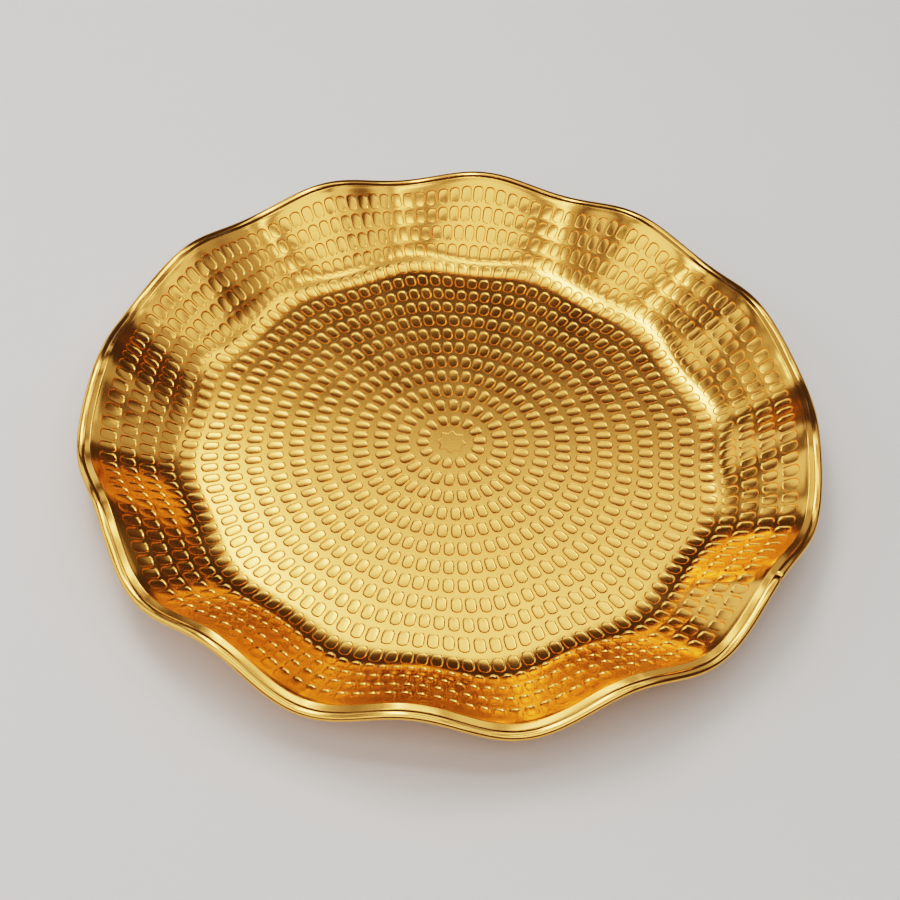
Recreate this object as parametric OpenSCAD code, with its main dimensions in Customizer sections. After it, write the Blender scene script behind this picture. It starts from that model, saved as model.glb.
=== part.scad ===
// Fluted tray of pressed brass sheet with a wired edge.
// Units are mm, +Z is up, the origin is on the table under the middle of the floor.

/* [Tray] */
// Widest diameter, over the outward lobes of the edge
outer_d = 300; // [220:1:400]
// Mean height of the inner lip of the edge above the table
lip_height = 25; // [16:0.5:40]
// Slope of the wall from the floor
wall_angle = 37; // [28:1:50]
// Radial length of the soft bend between floor and wall
bend_len = 14; // [8:1:20]

/* [Flutes] */
// Number of flutes round the wall
lobes = 12; // [6:1:16]
// Swing of the edge outward and inward from its mean circle
lobe_out = 1.6; // [0:0.1:3]
// Swing of the edge down and up from its mean height
lobe_rise = 4; // [0:0.1:6]
// Turn of the first outward lobe from +X
lobe_turn = 12; // [0:1:30]

/* [Sheet] */
// Thickness of the pressed sheet
sheet_t = 0.8; // [0.5:0.1:0.9]
// Width of the flat lip that the edge strip folds over
flange_w = 3.7; // [3:0.1:3.7]
// Fall of that lip toward the outside
flange_angle = 10; // [4:1:14]

/* [Edge strip] */
// Width of the whole edge, flat lip and rolled strip, seen from above
edge_w = 5.8; // [5.8:0.1:8]
// Distance from the wall's top to the strip's inner edge
strip_in = 2.4; // [0.3:0.1:2.4]
// Thickness of the strip's metal
strip_t = 0.4; // [0.3:0.05:0.6]
// Open gap where the two ends of the strip meet
strip_gap = 0.5; // [0.2:0.1:2]
// Turn of that gap from +X
strip_turn = 327; // [0:1:359]

/* [Wire] */
// Diameter of the stiffening wire inside the strip
wire_d = 1.5; // [1:0.1:1.6]

/* [Hidden] */
// clearance between pieces that touch
fit = 0.05;
// height that the strip's crown stands off the lip
crown = 0.15;
// stations along each flute, and round the whole edge
steps = 10;
stations = lobes * steps;
// sides of the wire
wire_sides = 8;
// length by which the flat disc runs under the pressed ring
seam = 3;

strip_r = outer_d / 2 - lobe_out;
lip_r = strip_r - edge_w;
rise = lip_height - sheet_t;
slope = tan(wall_angle);
bend_r = lip_r - rise / slope;
bend_half = bend_len / 2;
core_r = bend_r - bend_half - seam;
seam_r = core_r - seam;
wire_r = wire_d / 2;
wire_u = edge_w - strip_t - fit - wire_r;
wire_v = -0.9 * wire_d;
// outward steps of the strip's upper and under edges from its inner edge
over_step = 0.5;
under_step = 0.2;

// swing of the flutes at an angle, +1 on an outward lobe
function swing(a) = cos(lobes * (a - lobe_turn));

// height of the wall's upper face above the floor at a radius
function bend_rise(x) = slope * pow(x + bend_half, 2) / (4 * bend_half);
function wall_rise(r) = r < bend_r - bend_half ? 0
    : r > bend_r + bend_half ? slope * (r - bend_r)
    : bend_rise(r - bend_r);

// slope angle of that face
function wall_tilt(r) = r < bend_r - bend_half ? 0
    : r > bend_r + bend_half ? wall_angle
    : atan(slope * (r - bend_r + bend_half) / (2 * bend_half));

// share of the radial swing that reaches a radius
function reach(r) = let (x = max(0, min(1, (r - core_r) / (bend_len + seam)))) x * x * (3 - 2 * x);

// section of the pressed sheet: radius, height, share of outward swing, share of rise
function top_point(r) = [r, sheet_t + wall_rise(r), reach(r), wall_rise(r) / rise];
function under_point(r) = let (t = wall_tilt(r))
    [r + sheet_t * sin(t), sheet_t + wall_rise(r) - sheet_t * cos(t), reach(r), wall_rise(r) / rise];
function flange_v(u) = -tan(flange_angle) * u;
function edge_point(u, v) = [lip_r + u, lip_height + v, 1, 1];

bend_radii = [for (k = [0 : 5]) bend_r - bend_half + bend_len * k / 5];
wall_radii = [for (k = [1 : 3]) bend_r + bend_half + (lip_r - bend_r - bend_half) * k / 3];
sheet_radii = concat([seam_r], bend_radii, wall_radii);
flange_end = [edge_point(flange_w, flange_v(flange_w)), edge_point(flange_w, flange_v(flange_w) - sheet_t)];
under_corner = edge_point(sheet_t, flange_v(sheet_t) - sheet_t);
last_wall = len(sheet_radii) - 2;

// the sheet's closed outline, anticlockwise with the radius to the right
function pan_outline() = concat(
    [for (k = [0 : last_wall]) under_point(sheet_radii[k])],
    [under_corner, flange_end[1], flange_end[0]],
    [for (k = [len(sheet_radii) - 1 : -1 : 0]) top_point(sheet_radii[k])]
);

// the strip as pairs of skin points: inside face, outside face
function lip_pair(u, lift) = [
    edge_point(u, flange_v(u) + fit + lift),
    edge_point(u, flange_v(u) + fit + lift + strip_t)
];
function wrap_pair(a) = [
    edge_point(wire_u + (wire_r + fit) * cos(a), wire_v + (wire_r + fit) * sin(a)),
    edge_point(wire_u + (wire_r + fit + strip_t) * cos(a), wire_v + (wire_r + fit + strip_t) * sin(a))
];
function under_pair(u) = [
    edge_point(u, flange_v(u) - sheet_t - fit),
    edge_point(u, flange_v(u) - sheet_t - fit - strip_t)
];
strip_pairs = concat(
    [lip_pair(strip_in, 0), lip_pair(strip_in + over_step, crown)],
    [for (a = [75 : -33 : -90]) wrap_pair(a)],
    [under_pair(strip_in + under_step)]
);
pair_count = len(strip_pairs);
function strip_outline() = concat(
    [for (k = [pair_count - 1 : -1 : 0]) strip_pairs[k][1]],
    [for (k = [0 : pair_count - 1]) strip_pairs[k][0]]
);

function wire_outline() = [
    for (k = [0 : wire_sides - 1])
        let (a = 360 * k / wire_sides)
        edge_point(wire_u + wire_r * cos(a), wire_v + wire_r * sin(a))
];

// a section point carried round to an angle and moved by the flutes
function place(p, a) = let (s = swing(a), r = p[0] + p[2] * lobe_out * s)
    [r * cos(a), r * sin(a), p[1] - p[3] * lobe_rise * s];

function quad(a, b, c, d) = [[a, b, c], [a, c, d]];

function ring_faces(rows, n, turns) = [
    for (i = [0 : turns - 1])
        for (j = [0 : n - 1])
            let (e = (i + 1) % rows, f = (j + 1) % n)
            for (t = quad(i * n + j, i * n + f, e * n + f, e * n + j)) t
];

module closed_ring(outline) {
    n = len(outline);
    points = [for (i = [0 : stations - 1]) for (p = outline) place(p, lobe_turn + 360 * i / stations)];
    polyhedron(points = points, faces = ring_faces(stations, n, stations));
}

// caps of the open strip, joined pair by pair
function cap_faces(base, n, flip) = [
    for (k = [0 : n / 2 - 2])
        let (a = base + k, b = base + k + 1, c = base + n - 2 - k, d = base + n - 1 - k)
        for (t = flip ? quad(a, b, c, d) : quad(d, c, b, a)) t
];

module open_ring(outline) {
    n = len(outline);
    half_gap = strip_gap / strip_r * 90 / PI;
    sweep = 360 - 2 * half_gap;
    points = [
        for (i = [0 : stations])
            for (p = outline) place(p, strip_turn + half_gap + sweep * i / stations)
    ];
    faces = concat(
        ring_faces(stations + 1, n, stations),
        cap_faces(0, n, false),
        cap_faces(stations * n, n, true)
    );
    polyhedron(points = points, faces = faces);
}

// pressed sheet: flat floor, fluted wall and the lip under the strip
module pan() {
    color([0.86, 0.65, 0.27])
        union() {
            cylinder(r = core_r, h = sheet_t, $fn = 180);
            closed_ring(pan_outline());
        }
}

// strip folded over the lip and round the wire, its ends butted
module edge_strip() {
    color([0.93, 0.74, 0.36])
        open_ring(strip_outline());
}

// stiffening wire, a closed ring inside the strip
module edge_wire() {
    color([0.55, 0.55, 0.56])
        closed_ring(wire_outline());
}

pan();
edge_strip();
edge_wire();
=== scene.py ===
import bpy, bmesh, math, random
from mathutils import Matrix, Vector


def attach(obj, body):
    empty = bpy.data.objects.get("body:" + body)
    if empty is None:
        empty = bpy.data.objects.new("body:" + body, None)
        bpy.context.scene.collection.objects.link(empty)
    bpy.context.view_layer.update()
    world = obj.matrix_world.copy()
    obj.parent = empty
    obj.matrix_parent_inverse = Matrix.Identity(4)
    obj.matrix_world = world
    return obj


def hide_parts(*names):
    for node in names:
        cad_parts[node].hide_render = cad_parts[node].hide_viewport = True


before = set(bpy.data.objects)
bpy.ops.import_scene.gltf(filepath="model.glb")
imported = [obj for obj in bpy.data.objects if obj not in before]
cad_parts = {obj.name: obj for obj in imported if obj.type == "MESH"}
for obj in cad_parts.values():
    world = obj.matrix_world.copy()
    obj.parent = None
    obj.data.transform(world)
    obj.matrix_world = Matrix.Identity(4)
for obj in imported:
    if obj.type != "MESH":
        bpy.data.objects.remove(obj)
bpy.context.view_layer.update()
mm = 0.001
fullTurn = 2 * math.pi
# in mm: points this close are one, lie on a ring, lie level, or lie clear of a ring
close = {"weld": 0.01, "ring": 0.02, "level": 0.001, "clear": 0.05}

# the tray's section and flutes in mm, the same numbers as the pressed solids
tray = {
    "lobes": 12, "lobeTurn": 12.0,        # flutes, and the angle of the first outward one
    "lobeOut": 1.6, "lobeRise": 4.0,      # swing of the edge, outward and down
    "lobeShares": (0.86, 0.14),           # of the outward swing: at the floor's edge, and up the wall
    "lipRadius": 142.6, "lipHeight": 25.0,
    "wallAngle": 37.0, "bend": 7.0,       # slope, and the floor that the soft bend takes
    "sheet": 0.8,
    "crease": 0.45,                       # small step where the wall turns into the lip
    "swirlStart": 58.0, "swirlEnd": 118.0,   # where the marks begin and finish following the flutes
}
wallTilt = math.radians(tray["wallAngle"])
wallRise = tray["lipHeight"] - tray["sheet"]
bendCorner = tray["lipRadius"] - wallRise / math.tan(wallTilt)
bendRadius = tray["bend"] / math.tan(wallTilt / 2)
bendStart = bendCorner - tray["bend"]
bendEnd = bendStart + bendRadius * wallTilt             # lengths along the sheet
bendLift = bendRadius * (1 - math.cos(wallTilt))
wallEnd = bendEnd + (wallRise - tray["crease"] - bendLift) / math.sin(wallTilt)


def smoothStep(x):
    x = max(0.0, min(1.0, x))
    return x * x * (3 - 2 * x)


def swing(angle):
    return math.cos(tray["lobes"] * (angle - math.radians(tray["lobeTurn"])))


def facePoint(along, angle):
    # upper face of the sheet at a length from the middle
    if along < bendStart:
        radius, lift = along, 0.0
    elif along < bendEnd:
        bent = (along - bendStart) / bendRadius
        radius = bendStart + bendRadius * math.sin(bent)
        lift = bendRadius * (1 - math.cos(bent))
    else:
        onWall = along - bendEnd
        radius = bendStart + bendRadius * math.sin(wallTilt) + onWall * math.cos(wallTilt)
        lift = bendLift + onWall * math.sin(wallTilt)
    wave = swing(angle)
    reach = smoothStep((along - tray["swirlStart"]) / (tray["swirlEnd"] - tray["swirlStart"]))
    atFloor, upWall = tray["lobeShares"]
    radius += tray["lobeOut"] * (atFloor * reach + upWall * lift / wallRise) * wave
    height = tray["sheet"] + lift * (1 - tray["lobeRise"] / wallRise * wave)
    return Vector((radius * math.cos(angle), radius * math.sin(angle), height))


def sheetPoint(along, angle, off):
    # a point off the upper face, square to it
    here = facePoint(along, angle)
    if along < 1:                         # too near the middle for an angle
        return here + Vector((0, 0, off))
    step = close["clear"]                 # short enough to find the slope from
    outward = facePoint(along + step, angle) - facePoint(along - step, angle)
    around = facePoint(along, angle + step / along) - facePoint(along, angle - step / along)
    return here + outward.cross(around).normalized() * off


def edgePoint(out, up, angle):
    wave = swing(angle)
    radius = tray["lipRadius"] + out + tray["lobeOut"] * wave
    return Vector((radius * math.cos(angle), radius * math.sin(angle),
                   tray["lipHeight"] + up - tray["lobeRise"] * wave))


def finishPiece(bm, name, material, node=None):
    bmesh.ops.recalc_face_normals(bm, faces=bm.faces[:])
    for face in bm.faces:
        face.smooth = True
    bmesh.ops.scale(bm, vec=(mm, mm, mm), verts=bm.verts[:])
    mesh = bpy.data.meshes.new(name)
    bm.to_mesh(mesh)
    bm.free()
    piece = bpy.data.objects.new(name, mesh)
    bpy.context.scene.collection.objects.link(piece)
    mesh.materials.append(material)
    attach(piece, "root")
    if node:
        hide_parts(node)
    triangles = sum(len(p.vertices) - 2 for p in mesh.polygons)
    print(name, len(mesh.vertices), "points", triangles, "triangles")
    return piece


# materials
def linear(hexColour):
    parts = [int(hexColour[i:i + 2], 16) / 255 for i in (0, 2, 4)]
    return [c / 12.92 if c <= 0.04045 else ((c + 0.055) / 1.055) ** 2.4 for c in parts] + [1.0]


def addNode(tree, kind, settings=None, links=None):
    # one node, its sockets and properties set, and its inputs joined to other nodes' outputs
    node = tree.nodes.new(kind)
    for key, value in (settings or {}).items():
        if isinstance(key, int) or key in node.inputs:
            node.inputs[key].default_value = value
        else:
            setattr(node, key, value)
    for key, (source, output) in (links or {}).items():
        tree.links.new(source.outputs[output], node.inputs[key])
    return node


def newMaterial(name):
    material = bpy.data.materials.new(name)
    material.use_nodes = True
    material.node_tree.nodes.clear()
    return material, material.node_tree


def polishedMetal(name, colour, look):
    # soft mirror with a faint orange peel, fine rubbing marks, and cloudy patches of more or less polish
    material, tree = newMaterial(name)
    place = addNode(tree, "ShaderNodeTexCoord")
    peel = addNode(tree, "ShaderNodeTexNoise",
                   {"Scale": 1 / (look["peelSize"] * mm), "Detail": 2.0, "Roughness": 0.5},
                   {"Vector": (place, "Object")})
    grain = addNode(tree, "ShaderNodeTexNoise",
                    {"Scale": 1 / (look["grainSize"] * mm), "Detail": 3.0, "Roughness": 0.6},
                    {"Vector": (place, "Object")})
    cloud = addNode(tree, "ShaderNodeTexNoise",
                    {"Scale": 1 / (look["cloudSize"] * mm), "Detail": 3.0, "Roughness": 0.55},
                    {"Vector": (place, "Object")})
    rough = addNode(tree, "ShaderNodeMapRange",
                    {"From Min": 0.3, "From Max": 0.7,
                     "To Min": look["roughness"][0], "To Max": look["roughness"][1]},
                    {"Value": (cloud, "Fac")})
    peelBump = addNode(tree, "ShaderNodeBump",
                       {"Strength": look["peelStrength"], "Distance": look["peelDepth"] * mm},
                       {"Height": (peel, "Fac")})
    grainBump = addNode(tree, "ShaderNodeBump",
                        {"Strength": look["grainStrength"], "Distance": look["grainDepth"] * mm},
                        {"Height": (grain, "Fac"), "Normal": (peelBump, "Normal")})
    shader = addNode(tree, "ShaderNodeBsdfPrincipled",
                     {"Base Color": linear(colour), "Metallic": 1.0},
                     {"Roughness": (rough, "Result"), "Normal": (grainBump, "Normal")})
    addNode(tree, "ShaderNodeOutputMaterial", {}, {"Surface": (shader, "BSDF")})
    return material


pressedLook = {
    "peelSize": 1.1, "peelStrength": 0.14, "peelDepth": 0.03,
    "grainSize": 0.35, "grainStrength": 0.3, "grainDepth": 0.01,
    "cloudSize": 22.0, "roughness": (0.15, 0.22),
}
edgeLook = {
    "peelSize": 2.5, "peelStrength": 0.15, "peelDepth": 0.03,
    "grainSize": 0.3, "grainStrength": 0.2, "grainDepth": 0.008,
    "cloudSize": 14.0, "roughness": (0.14, 0.22),
}
# warm gold sheet, slightly uneven from the press
pressedBrass = polishedMetal("pressedPolishedBrass", "FFB764", pressedLook)
# a smoother, slightly paler gold that runs in long clean highlights
edgeBrass = polishedMetal("rolledPolishedBrass", "FFB967", edgeLook)
# cool grey wire, seen only in the gap of the edge
wireSteel = polishedMetal("brightDrawnSteel", "B9BBBD", edgeLook)
print("materials made")

# the pressed marks, in mm
marks = {
    # how many in each ring, from the middle out
    "counts": [14, 24, 35, 45, 55, 65, 75, 80, 92, 104, 109, 120, 144, 150, 156, 156],
    "firstRing": 7.43, "ringPitch": 8.72, "floorRings": 12,
    "ringGap": 0.35,                      # land left to join two rings
    "floorShare": (0.81, 0.81), "wallShare": (0.86, 0.86),   # of a cell's length and width
    "firstShare": 0.68,                   # the first ring's marks are short
    "taper": 0.5,                         # sides closer to parallel than the spokes
    "cornerRadius": 1.9, "cornerShare": 0.44,   # nearly round ends, at most this share of the width
    # inset and drop of the shoulder, then of the flat middle
    "steps": [(0.44, -0.34), (0.28, -0.035)],
    # the rings on the soft bend, cut across so that they follow it
    "bentRings": (10, 11, 12), "cuts": (-2.3, 0.0, 2.3),
    "wallSteps": [(0.3, -0.44), (0.26, -0.035)],   # struck more steeply
    "backSteps": [(0.34, -0.4)],          # the bump that the punch leaves behind each mark on the wall
    # how unevenly a hand-cut die sets them: sideways, the share of that along the spoke, and in length
    "shift": 0.16, "slide": 0.6, "stretch": 0.035,
    "seed": 11,
}
# the star in the middle, in mm
star = {
    "points": 8, "tip": 6.8, "valley": 4.9, "turn": math.radians(87),
    "round": 0.6,                         # of the tips and valleys
    # inset and drop of the shoulder, its foot, and a level border that keeps the middle flat
    "steps": [(0.28, -0.22), (0.12, -0.03), (0.05, 0.0)],
}


def everything(bm):
    return bm.verts[:] + bm.edges[:] + bm.faces[:]


def turned(angle):
    return Matrix.Rotation(angle, 3, "Z")


def fillFlat(bm, edges):
    bmesh.ops.triangle_fill(bm, use_beauty=True, use_dissolve=False, edges=edges, normal=(0, 0, 1))


def markCell(count, inner, outer, shares, fine, steps):
    # one mark on its own piece of land, lying along +X
    bm = bmesh.new()
    half = math.pi / count
    middle = (inner + outer) / 2
    length = (outer - inner) * shares[0]
    spread = shares[1] * math.tan(half)
    bmesh.ops.create_grid(bm, x_segments=1, y_segments=1, size=0.5)
    for vert in bm.verts:
        at = middle + math.copysign(length / 2, vert.co.x)
        vert.co = (at, math.copysign(spread * (middle + (at - middle) * marks["taper"]), vert.co.y), 0)
    narrow = 2 * spread * (middle - length / 2 * marks["taper"])
    corner = min(marks["cornerRadius"], marks["cornerShare"] * narrow)
    bmesh.ops.bevel(bm, geom=bm.verts[:], offset=corner, offset_type="OFFSET",
                    segments=2 if fine else 1, profile=0.5, affect="VERTICES", material=-1)
    top = bm.faces[:]
    for inset, lift in steps:
        bmesh.ops.inset_individual(bm, faces=top, thickness=inset, depth=lift, use_even_offset=True)
    outline = [e for e in bm.edges if e.is_boundary]
    for edge in outline:
        edge.smooth = False               # a crisp line where the mark drops from the land
    border = []
    for at, sides in ((inner + marks["ringGap"], (-1, 0, 1)), (outer - marks["ringGap"], (1, 0, -1))):
        for side in sides:
            if side or fine:
                border.append(bm.verts.new((at * math.cos(side * half), at * math.sin(side * half), 0)))
    rim = [bm.edges.new((border[i - 1], border[i])) for i in range(len(border))]
    fillFlat(bm, outline + rim)
    return bm, half


def markRing(ring, fine):
    count = marks["counts"][ring]
    inner = marks["firstRing"] + marks["ringPitch"] * ring
    outer = inner + marks["ringPitch"]
    onWall = ring >= marks["floorRings"]
    shares = marks["wallShare"] if onWall else marks["floorShare"]
    if ring == 0:
        shares = (marks["firstShare"], shares[1])
    faceSteps = marks["wallSteps"] if onWall else marks["steps"]
    backSteps = marks["backSteps"] if onWall else []   # the underside of the floor is flat
    bm, half = markCell(count, inner, outer, shares, fine, faceSteps if fine else backSteps)
    if fine and ring in marks["bentRings"]:
        for cut in marks["cuts"]:
            bmesh.ops.bisect_plane(bm, geom=everything(bm), dist=close["level"],
                                   plane_co=((inner + outer) / 2 + cut, 0, 0), plane_no=(1, 0, 0))
    bmesh.ops.spin(bm, geom=everything(bm), cent=(0, 0, 0), axis=(0, 0, 1), dvec=(0, 0, 0),
                   angle=fullTurn * (count - 1) / count, steps=count - 1, use_duplicate=True)
    bmesh.ops.remove_doubles(bm, verts=bm.verts[:], dist=close["weld"])
    # each mark sits a little off its even place
    dice = random.Random(marks["seed"] + ring)
    nudges = [(dice.uniform(-1, 1), dice.uniform(-1, 1), dice.uniform(-1, 1)) for i in range(count)]
    middle = (inner + outer) / 2
    border = (outer - inner) / 2 - marks["ringGap"] - close["clear"]
    for vert in bm.verts:
        along = vert.co.xy.length
        angle = math.atan2(vert.co.y, vert.co.x)
        cell = round(angle / (2 * half)) % count
        if abs(vert.co.z) > close["level"] or abs(along - middle) < border:
            swerve, slide, stretch = nudges[cell]
            angle += swerve * marks["shift"] / middle
            along = middle + (along - middle) * (1 + stretch * marks["stretch"])
            along += slide * marks["shift"] * marks["slide"]
            vert.co.x, vert.co.y = along * math.cos(angle), along * math.sin(angle)
    phase = 0.0 if onWall else dice.uniform(0, 2 * half)   # the wall's marks line up, the floor's don't
    bmesh.ops.rotate(bm, cent=(0, 0, 0), matrix=turned(phase), verts=bm.verts[:])
    return bm


def loopAt(bm, along):
    # the open edges that lie on one ring
    return [e for e in bm.edges if e.is_boundary
            and all(abs(v.co.xy.length - along) < close["ring"] for v in e.verts)]


def middleStar(bm, fine):
    made = bmesh.ops.create_circle(bm, cap_ends=True, segments=2 * star["points"], radius=star["tip"])
    points = made["verts"]
    for i, vert in enumerate(points):
        if i % 2:
            vert.co *= star["valley"] / star["tip"]
    bmesh.ops.rotate(bm, cent=(0, 0, 0), matrix=turned(star["turn"] - math.pi / 2), verts=points)
    if fine:
        bmesh.ops.bevel(bm, geom=points, offset=star["round"], offset_type="OFFSET", segments=2,
                        profile=0.5, affect="VERTICES", material=-1)
    bm.normal_update()
    top = bm.faces[:]
    if top[0].normal.z < 0:
        bmesh.ops.reverse_faces(bm, faces=top)
    for inset, lift in star["steps"] if fine else []:
        bmesh.ops.inset_individual(bm, faces=top, thickness=inset, depth=lift, use_even_offset=True)
    outline = [e for e in bm.edges if e.is_boundary]
    for edge in outline:
        edge.smooth = False
    return outline


def patternedFace(fine):
    # the whole face laid out flat: star, rings of marks, and the land between them
    bm = bmesh.new()
    starOutline = middleStar(bm, fine)
    for ring in range(len(marks["counts"])):
        ringMesh = bpy.data.meshes.new("ring")
        ringPart = markRing(ring, fine)
        ringPart.to_mesh(ringMesh)
        ringPart.free()
        bm.from_mesh(ringMesh)
        bpy.data.meshes.remove(ringMesh)
    firstLoop = loopAt(bm, marks["firstRing"] + marks["ringGap"])
    fillFlat(bm, starOutline + firstLoop)
    for ring in range(1, len(marks["counts"])):
        seam = marks["firstRing"] + marks["ringPitch"] * ring
        loops = loopAt(bm, seam - marks["ringGap"]) + loopAt(bm, seam + marks["ringGap"])
        bmesh.ops.bridge_loops(bm, edges=loops)
    return bm


def growLoops(bm, start, places):
    # plain metal past the last ring, one loop of points at a time
    edges = loopAt(bm, start)
    now = start
    for along in places:
        made = bmesh.ops.extrude_edge_only(bm, edges=edges)["geom"]
        verts = [g for g in made if isinstance(g, bmesh.types.BMVert)]
        bmesh.ops.scale(bm, vec=(along / now, along / now, 1), verts=verts)
        edges = [g for g in made if isinstance(g, bmesh.types.BMEdge) and g.is_boundary]
        now = along


# the turned edge of the sheet: steps outward and up from the lip's inner corner, in mm
lip = {
    "over": [(-0.06, -0.14), (0.08, 0.0), (0.3, -0.03), (2.0, -0.34), (3.7, -0.65)],
    "under": [(0.9, -0.98), (3.7, -1.45)],
    "inset": 0.4,                         # the underside turns this much sooner
}


def bendFace(bm, fine):
    # lifts the flat layout onto the real floor, wall and lip
    steps = lip["over"] if fine else lip["under"]
    for vert in bm.verts:
        along = vert.co.xy.length
        angle = math.atan2(vert.co.y, vert.co.x)
        past = round(along - wallEnd)     # the lip's loops were laid out 1 mm apart
        if past > 0:
            vert.co = edgePoint(*steps[past - 1], angle)
        else:
            vert.co = sheetPoint(along, angle, vert.co.z - (0 if fine else tray["sheet"]))


def makePan():
    lastSeam = marks["firstRing"] + marks["ringPitch"] * len(marks["counts"])
    whole = bmesh.new()
    for fine in (True, False):
        bm = patternedFace(fine)
        steps = lip["over"] if fine else lip["under"]
        start = lastSeam - marks["ringGap"]
        places = [(start + wallEnd) / 2, wallEnd] if fine else [wallEnd - lip["inset"]]
        growLoops(bm, start, places + [wallEnd + i + 1 for i in range(len(steps))])
        bendFace(bm, fine)
        sideMesh = bpy.data.meshes.new("side")
        bm.to_mesh(sideMesh)
        bm.free()
        whole.from_mesh(sideMesh)
        bpy.data.meshes.remove(sideMesh)
        print("pan", "face" if fine else "back", "laid out")
    openEdges = [e for e in whole.edges if e.is_boundary]
    bmesh.ops.bridge_loops(whole, edges=openEdges)
    print("pan open edges left:", sum(e.is_boundary or not e.is_manifold for e in whole.edges))
    pan = finishPiece(whole, "pressedPan", pressedBrass, "pan")
    return pan


# the strip rolled over the lip and the wire: its middle line outward and up from the lip's corner, in mm
bead = {
    "path": [(2.05, -0.66), (2.4, -0.45), (2.85, -0.23), (3.45, -0.13), (4.1, -0.15),
             (4.7, -0.3), (5.2, -0.62), (5.48, -1.12), (5.55, -1.72), (5.36, -2.2),
             (4.95, -2.5), (4.4, -2.52), (3.5, -2.1), (2.7, -1.62)],
    "thickness": 0.32, "steps": 432,
    # where the strip's two ends meet: width, how far out, angle
    "gap": 0.5, "gapOut": 5.0, "gapTurn": 327.0,
}


def makeBead():
    bm = bmesh.new()
    verts = [bm.verts.new((tray["lipRadius"] + out, 0, tray["lipHeight"] + up)) for out, up in bead["path"]]
    edges = [bm.edges.new(pair) for pair in zip(verts, verts[1:])]
    gapAngle = bead["gap"] / (tray["lipRadius"] + bead["gapOut"])
    start = math.radians(bead["gapTurn"]) + gapAngle / 2
    bmesh.ops.rotate(bm, cent=(0, 0, 0), matrix=turned(start), verts=verts)
    bmesh.ops.spin(bm, geom=verts + edges, cent=(0, 0, 0), axis=(0, 0, 1), dvec=(0, 0, 0),
                   angle=fullTurn - gapAngle, steps=bead["steps"], use_duplicate=False)
    bmesh.ops.recalc_face_normals(bm, faces=bm.faces[:])
    bmesh.ops.solidify(bm, geom=bm.faces[:], thickness=bead["thickness"])
    for vert in bm.verts:
        radius = vert.co.xy.length
        angle = math.atan2(vert.co.y, vert.co.x)
        vert.co = edgePoint(radius - tray["lipRadius"], vert.co.z - tray["lipHeight"], angle)
    return finishPiece(bm, "rolledEdge", edgeBrass, "edge_strip")


makePan()
makeBead()
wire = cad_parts["edge_wire"]
wire.data.materials.clear()
wire.data.materials.append(wireSteel)
print("pieces made")

# studio: pale floor, soft light from above, camera; the floor in metres, the camera in mm
studio = {
    "floorColour": "E4E1DC", "floorSize": 3.0, "fade": (0.5, 1.4),
    "airColour": "FFFDF8", "airLevel": 0.055, "backdropColour": "DDDBD7",
    "cameraPlace": (0.0, -366.8, 422.8), "cameraAim": (-0.43, -4.6, 0.8), "cameraRoll": -3.77,
    "cameraTurn": -0.3, "lens": 53.6,
}


def makeFloor():
    bm = bmesh.new()
    bmesh.ops.create_grid(bm, x_segments=1, y_segments=1, size=studio["floorSize"] / 2)
    mesh = bpy.data.meshes.new("studioFloor")
    bm.to_mesh(mesh)
    bm.free()
    floor = bpy.data.objects.new("studioFloor", mesh)
    bpy.context.scene.collection.objects.link(floor)
    material, tree = newMaterial("paleFloorBoard")
    board = addNode(tree, "ShaderNodeBsdfPrincipled",
                    {"Base Color": linear(studio["floorColour"]), "Roughness": 0.7})
    # far from the tray the board fades into the backdrop's own pale tone
    backdrop = addNode(tree, "ShaderNodeEmission", {"Color": linear(studio["backdropColour"])})
    away = addNode(tree, "ShaderNodeVectorMath", {"operation": "LENGTH"},
                   {"Vector": (addNode(tree, "ShaderNodeTexCoord"), "Object")})
    fade = addNode(tree, "ShaderNodeMapRange",
                   {"From Min": studio["fade"][0], "From Max": studio["fade"][1],
                    "interpolation_type": "SMOOTHSTEP"},
                   {"Value": (away, "Value")})
    both = addNode(tree, "ShaderNodeMixShader", {},
                   {0: (fade, "Result"), 1: (board, "BSDF"), 2: (backdrop, "Emission")})
    addNode(tree, "ShaderNodeOutputMaterial", {}, {"Surface": (both, "Shader")})
    mesh.materials.append(material)


def areaLight(name, place, aim, size, power):
    lamp = bpy.data.lights.new(name, "AREA")
    lamp.shape = "RECTANGLE"
    lamp.size, lamp.size_y = size
    lamp.energy = power
    holder = bpy.data.objects.new(name, lamp)
    holder.location = place
    holder.rotation_euler = (Vector(aim) - Vector(place)).to_track_quat("-Z", "Y").to_euler()
    holder.visible_camera = False         # seen only in the metal, never as a shape in the picture
    bpy.context.scene.collection.objects.link(holder)


makeFloor()
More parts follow.
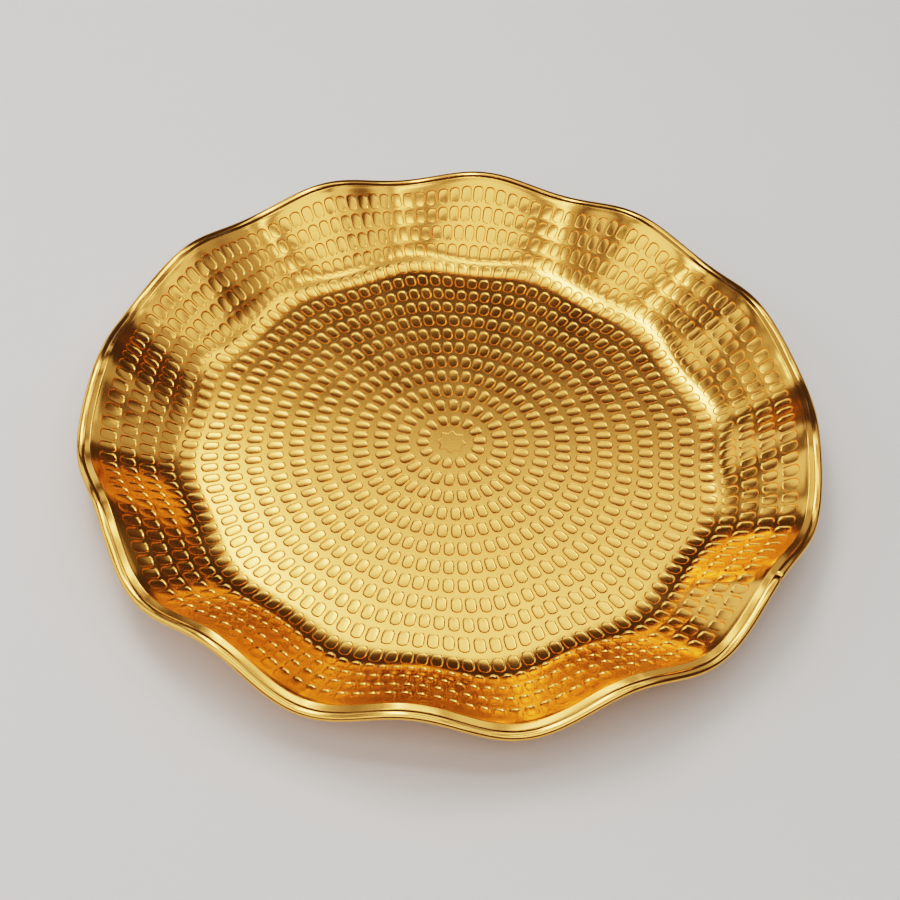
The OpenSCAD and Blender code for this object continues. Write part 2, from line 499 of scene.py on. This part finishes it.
# soft panels, in metres and watts: place, what it faces, size, power
panels = {
    "backPanel": ((0.0, 0.91, 1.2), (0.0, 0.91, 0), (1.3, 0.28), 1.15),
    "backPanelHigh": ((0.05, 0.68, 1.2), (0.05, 0.68, 0), (1.4, 0.3), 2.3),
    "backPanelLeft": ((-0.42, 0.66, 1.15), (0, 0, 0), (0.4, 0.36), 1.4),
    "topPanel": ((-0.15, 0.2, 1.3), (-0.15, 0.2, 0), (1.8, 0.9), 2.2),
    "topLamp": ((-0.34, 0.34, 1.2), (0, 0, 0), (0.34, 0.34), 1.9),
    "ridgeLamp": ((-0.1, 0.0, 1.28), (-0.1, 0.0, 0), (1.2, 0.2), 1.9),
    "nearPanel": ((-0.1, -0.95, 1.3), (-0.1, -0.95, 0), (2.0, 1.1), 10.0),
    "sidePanel": ((-1.42, -0.3, 0.68), (0, 0, 0), (2.3, 1.1), 8.0),
    "rightPanelHigh": ((0.95, 0.05, 1.2), (0.95, 0.05, 0), (0.5, 0.9), 1.4),
    "rightPanel": ((0.90, 0.81, 0.88), (0, 0, 0), (0.8, 0.64), 0.6),
    "rightPanelLow": ((1.29, 0.60, 0.27), (0, 0, 0), (1.2, 0.55), 0.1),
    "leftPanelLow": ((-1.04, 1.04, 0.28), (0, 0, 0), (0.9, 0.44), 1.1),
    "leftPanelMid": ((-0.75, 0.96, 0.95), (0, 0, 0), (0.6, 0.35), 0.5),
}
for name, (place, aim, size, power) in panels.items():
    areaLight(name, place, aim, size, power)


def makeAir():
    # dim air for the metal to mirror, and a plain pale backdrop for the eye
    world = bpy.data.worlds.new("studioAir")
    bpy.context.scene.world = world
    world.use_nodes = True
    tree = world.node_tree
    tree.nodes.clear()
    dim = addNode(tree, "ShaderNodeBackground",
                  {"Color": linear(studio["airColour"]), "Strength": studio["airLevel"]})
    plain = addNode(tree, "ShaderNodeBackground", {"Color": linear(studio["backdropColour"])})
    ray = addNode(tree, "ShaderNodeLightPath")
    both = addNode(tree, "ShaderNodeMixShader", {},
                   {0: (ray, "Is Camera Ray"), 1: (dim, "Background"), 2: (plain, "Background")})
    addNode(tree, "ShaderNodeOutputWorld", {}, {"Surface": (both, "Shader")})


makeAir()

cameraData = bpy.data.cameras.new("studioCamera")
cameraData.lens = studio["lens"]
cameraData.sensor_width = 36.0
camera = bpy.data.objects.new("studioCamera", cameraData)
bpy.context.scene.collection.objects.link(camera)
place = Vector(studio["cameraPlace"]) * mm
aim = Vector(studio["cameraAim"]) * mm
spin = Matrix.Rotation(math.radians(studio["cameraTurn"]), 4, "Z")
look = (aim - place).to_track_quat("-Z", "Y").to_matrix().to_4x4()
roll = Matrix.Rotation(math.radians(-studio["cameraRoll"]), 4, "Z")
camera.matrix_world = spin @ Matrix.Translation(place) @ look @ roll
bpy.context.scene.camera = camera
bpy.context.scene.view_settings.view_transform = "Filmic"
bpy.context.scene.view_settings.look = "High Contrast"

print("studio ready")
